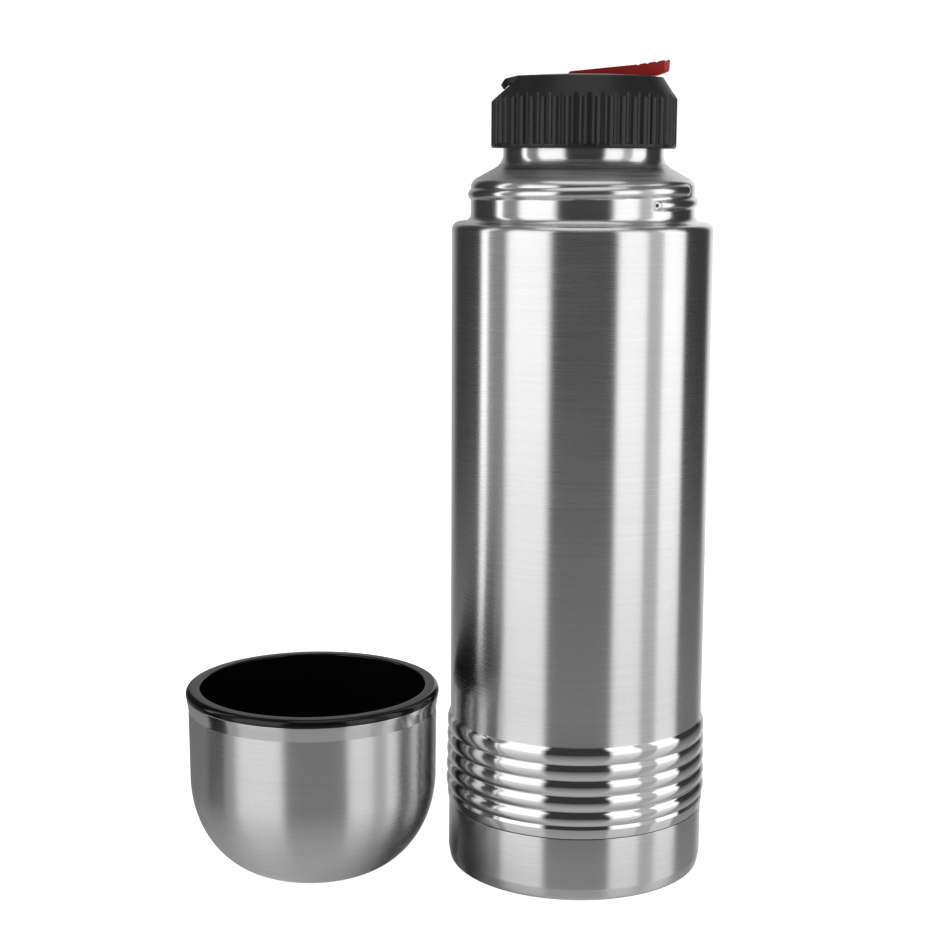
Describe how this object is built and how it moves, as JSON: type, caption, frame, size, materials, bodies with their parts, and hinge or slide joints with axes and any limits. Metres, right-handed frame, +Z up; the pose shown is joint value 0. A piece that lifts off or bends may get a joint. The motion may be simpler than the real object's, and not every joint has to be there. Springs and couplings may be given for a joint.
{
  "type": "vacuum flask",
  "caption": "Steel vacuum flask with a ribbed band near the base, a knurled screw stopper with a thumb lever for pouring, and its separate drinking cup.",
  "frame": {"origin": "middle of the flask's flat base, on the plane it stands on", "axes": "+Z up along the flask's axis; the cup stands towards -X, the pour lip points to -X and the thumb lever to +X"},
  "size_m": [0.1645, 0.0897, 0.2524],
  "materials": {
    "brushed_steel": "satin, brushed round the axis, polished ribs and collar",
    "base_steel": "satin",
    "inner_steel": "satin, electropolished",
    "plate_steel": "matt",
    "cup_steel": "satin, polished band under the rim",
    "copper_foil": "bright foil",
    "getter_metal": "matt",
    "solder": "matt",
    "black_plastic": "satin moulded",
    "gloss_black": "glossy moulded",
    "red_plastic": "satin moulded",
    "grey_plastic": "satin moulded",
    "foam": "foam",
    "silicone": "matt silicone",
    "spring_steel": "bright",
    "pin_steel": "bright"
  },
  "bodies": {
    "flask": {"outer_shell": "brushed_steel", "base_cup": "base_steel", "bottom_plate": "plate_steel", "vacuum_seal": "solder", "inner_vessel": "inner_steel", "inner_vessel_bottom": "inner_steel", "radiation_foil": "copper_foil", "getter": "getter_metal"},
    "seal": {"neck_seal": "silicone"},
    "stopper": {"stopper_cap": "black_plastic", "plug_body": "grey_plastic", "plug_insulation": "foam", "plug_base": "grey_plastic", "stem_seal": "silicone", "lever_pin": "pin_steel", "valve_spring": "spring_steel"},
    "lever": {"lever": "red_plastic"},
    "valve": {"valve_stem": "grey_plastic", "valve_seal": "silicone", "spring_retainer": "grey_plastic"},
    "cup": {"cup_shell": "cup_steel", "cup_liner": "gloss_black"}
  },
  "joints": [
    {"name": "stopper_rise", "type": "slide", "parent": "flask", "child": "seal", "axis": [0, 0, 1], "range_m": [0, 0.036]},
    {"name": "stopper_turn", "type": "hinge", "parent": "seal", "child": "stopper", "pos_m": [0, 0, 0.24], "axis": [0, 0, 1], "range_deg": [0, 1080]},
    {"name": "lever_press", "type": "hinge", "parent": "stopper", "child": "lever", "pos_m": [-0.009, 0, 0.246], "axis": [0, 1, 0], "range_deg": [0, 8.5]},
    {"name": "valve_open", "type": "slide", "parent": "stopper", "child": "valve", "axis": [0, 0, -1], "range_m": [0, 0.00133], "stiffness_N_per_m": 600, "springref_m": -0.0002, "deforming": ["valve_spring"]},
    {"name": "cup_over", "type": "hinge", "parent": "flask", "child": "cup", "pos_m": [-0.04172, -0.00431, 0.176], "axis": [-0.1028, 0.9947, 0], "range_deg": [0, 180]}
  ],
  "couplings": [
    {"joint": "stopper_turn", "follows": "stopper_rise", "rad_per_m": 523.6},
    {"joint": "lever_press", "follows": "valve_open", "rad_per_m": 111.11}
  ]
}
